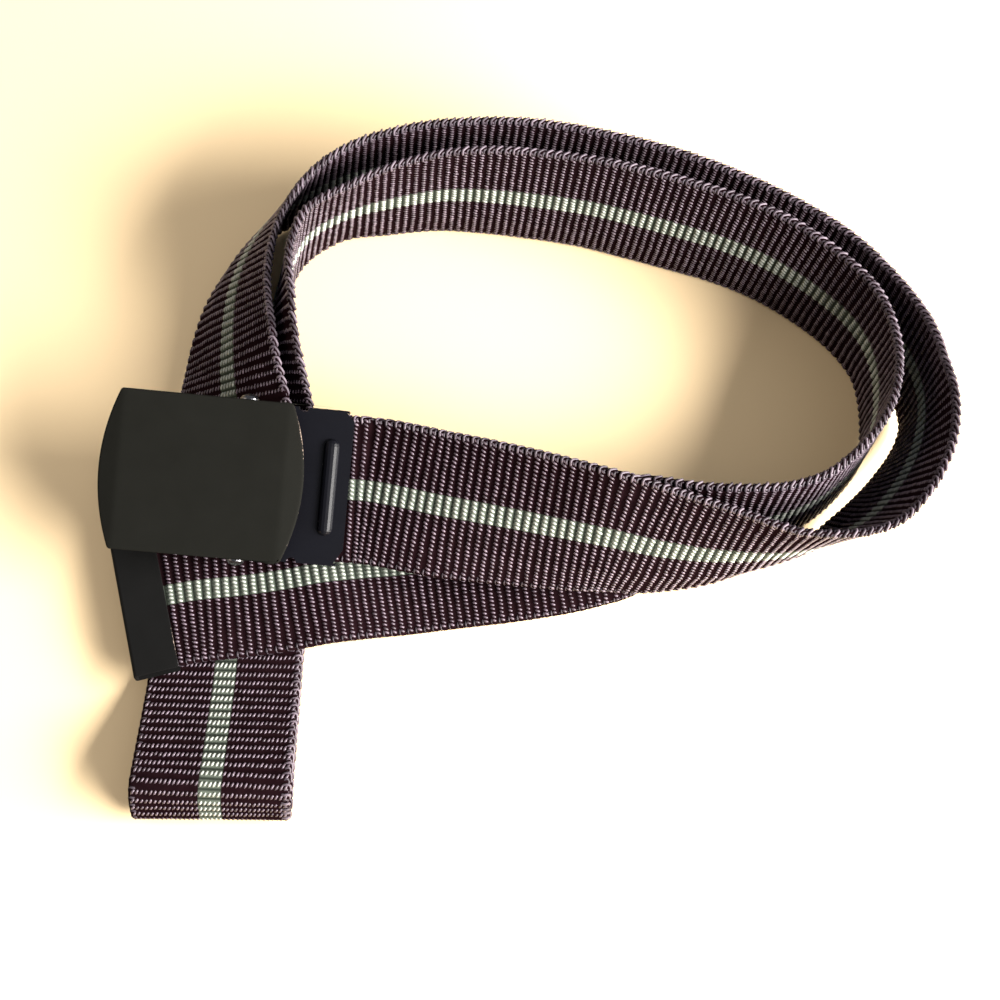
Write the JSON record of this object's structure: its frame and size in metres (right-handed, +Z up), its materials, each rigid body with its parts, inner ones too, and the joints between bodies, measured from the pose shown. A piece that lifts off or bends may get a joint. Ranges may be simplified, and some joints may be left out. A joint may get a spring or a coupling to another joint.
{
  "type": "web belt",
  "caption": "Striped web belt looped round twice and folded over, with its metal tip lying under a box friction buckle and a sliding roller bar.",
  "frame": {"origin": "middle of the belt's outline, on the table that it lies on", "axes": "+X along the longer way across the loops, from the buckle to the far bend; +Y from the buckle's low side towards the loops' far side; +Z up"},
  "size_m": [0.2188, 0.1876, 0.0407],
  "materials": {
    "webbing": "ribbed weave with a pale stripe down the middle",
    "coated_metal": "matte charcoal coating",
    "tip_metal": "matte dark slate coating",
    "bare_metal": "dark bare metal, lightly worn"
  },
  "bodies": {
    "belt": {"webbing": "webbing", "belt_tip": "tip_metal", "face_plate": "coated_metal", "buckle_frame": "coated_metal", "back_clamp": "coated_metal"},
    "roller": {"roller_bar": "bare_metal"}
  },
  "joints": [
    {"name": "roller_slide", "type": "slide", "parent": "belt", "child": "roller", "axis": [-0.9841, -0.0131, 0.1769], "range_m": [0, 0.006]}
  ]
}
